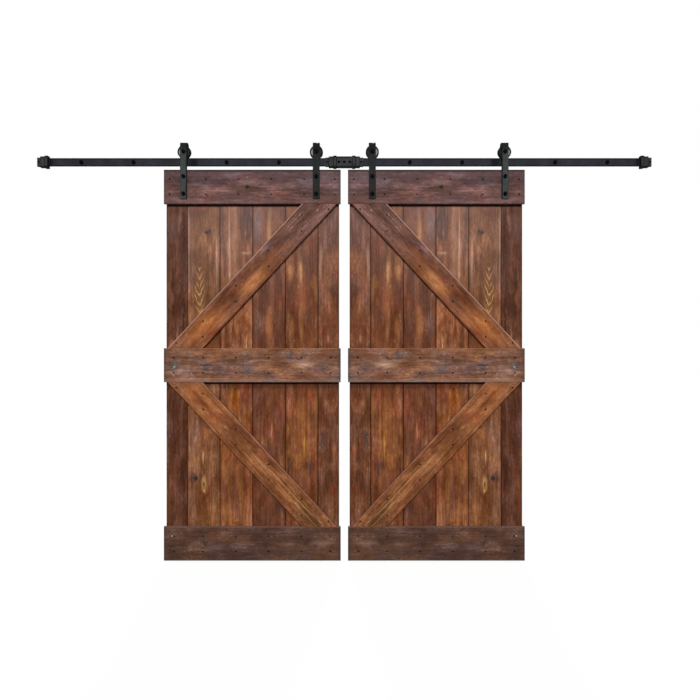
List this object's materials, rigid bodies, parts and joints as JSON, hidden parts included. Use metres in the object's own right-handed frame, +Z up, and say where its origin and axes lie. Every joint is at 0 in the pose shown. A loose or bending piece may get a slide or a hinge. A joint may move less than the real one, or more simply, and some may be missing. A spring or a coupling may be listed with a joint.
{
  "type": "sliding barn doors",
  "caption": "Pair of K-braced plank barn doors in dark stained pine, hung by bent strap hangers with grooved rollers from a flat black wall rail with stops and a centre joiner.",
  "frame": {"origin": "middle of the track on the wall plane, at the height of the rail's centreline", "axes": "+X along the track to the right, +Y into the wall, +Z up; the room side is -Y"},
  "size_m": [3.359, 0.0935, 2.283],
  "materials": {
    "plank_wood": "dark walnut stain, satin",
    "board_wood": "dark walnut stain, satin",
    "brace_wood": "dark walnut stain, satin",
    "rail_steel": "black powder coat, matt",
    "strap_steel": "black powder coat, matt",
    "black_fasteners": "black oxide",
    "moulding": "moulded, matt",
    "wheel": "moulded nylon, satin",
    "bearing_steel": "ground"
  },
  "bodies": {
    "track": {"left_rail": "rail_steel", "right_rail": "rail_steel", "joiner_channel": "moulding", "joiner_back_plate": "rail_steel", "joiner_screws": "black_fasteners", "left_end_stop": "moulding", "right_end_stop": "moulding", "left_centre_stop": "moulding", "right_centre_stop": "moulding", "stop_screws": "black_fasteners", "wall_spacers": "rail_steel", "wall_bolts": "black_fasteners"},
    "left_door": {"left_plank_1": "plank_wood", "left_plank_2": "plank_wood", "left_plank_3": "plank_wood", "left_plank_4": "plank_wood", "left_plank_5": "plank_wood", "left_plank_6": "plank_wood", "left_top_board": "board_wood", "left_middle_board": "board_wood", "left_bottom_board": "board_wood", "left_upper_brace": "brace_wood", "left_lower_brace": "brace_wood", "left_wood_screws": "black_fasteners", "left_outer_hanger": "strap_steel", "left_inner_hanger": "strap_steel", "left_hanger_bolts": "black_fasteners", "left_axle_bolts": "black_fasteners", "left_nuts": "black_fasteners", "left_axle_bushes": "bearing_steel", "left_bearing_inner_rings": "bearing_steel", "left_bearing_balls": "bearing_steel"},
    "left_outer_roller": {"left_outer_wheel": "wheel", "left_outer_bearing_ring": "bearing_steel"},
    "left_inner_roller": {"left_inner_wheel": "wheel", "left_inner_bearing_ring": "bearing_steel"},
    "right_door": {"right_plank_1": "plank_wood", "right_plank_2": "plank_wood", "right_plank_3": "plank_wood", "right_plank_4": "plank_wood", "right_plank_5": "plank_wood", "right_plank_6": "plank_wood", "right_top_board": "board_wood", "right_middle_board": "board_wood", "right_bottom_board": "board_wood", "right_upper_brace": "brace_wood", "right_lower_brace": "brace_wood", "right_wood_screws": "black_fasteners", "right_outer_hanger": "strap_steel", "right_inner_hanger": "strap_steel", "right_hanger_bolts": "black_fasteners", "right_axle_bolts": "black_fasteners", "right_nuts": "black_fasteners", "right_axle_bushes": "bearing_steel", "right_bearing_inner_rings": "bearing_steel", "right_bearing_balls": "bearing_steel"},
    "right_outer_roller": {"right_outer_wheel": "wheel", "right_outer_bearing_ring": "bearing_steel"},
    "right_inner_roller": {"right_inner_wheel": "wheel", "right_inner_bearing_ring": "bearing_steel"}
  },
  "joints": [
    {"name": "left_door_slide", "type": "slide", "parent": "track", "child": "left_door", "axis": [1, 0, 0], "range_m": [-0.712, 0.0195]},
    {"name": "left_outer_roller_turn", "type": "hinge", "parent": "left_door", "child": "left_outer_roller", "pos_m": [-0.876, -0.037, 0.0545], "axis": [0, 1, 0], "range_deg": [-1276, 36]},
    {"name": "left_inner_roller_turn", "type": "hinge", "parent": "left_door", "child": "left_inner_roller", "pos_m": [-0.153, -0.037, 0.0545], "axis": [0, 1, 0], "range_deg": [-1276, 36]},
    {"name": "right_door_slide", "type": "slide", "parent": "track", "child": "right_door", "axis": [1, 0, 0], "range_m": [-0.0195, 0.712]},
    {"name": "right_outer_roller_turn", "type": "hinge", "parent": "right_door", "child": "right_outer_roller", "pos_m": [0.876, -0.037, 0.0545], "axis": [0, 1, 0], "range_deg": [-36, 1276]},
    {"name": "right_inner_roller_turn", "type": "hinge", "parent": "right_door", "child": "right_inner_roller", "pos_m": [0.153, -0.037, 0.0545], "axis": [0, 1, 0], "range_deg": [-36, 1276]}
  ],
  "couplings": [
    {"joint": "left_outer_roller_turn", "follows": "left_door_slide", "rad_per_m": 31.25},
    {"joint": "left_inner_roller_turn", "follows": "left_door_slide", "rad_per_m": 31.25},
    {"joint": "right_outer_roller_turn", "follows": "right_door_slide", "rad_per_m": 31.25},
    {"joint": "right_inner_roller_turn", "follows": "right_door_slide", "rad_per_m": 31.25}
  ]
}
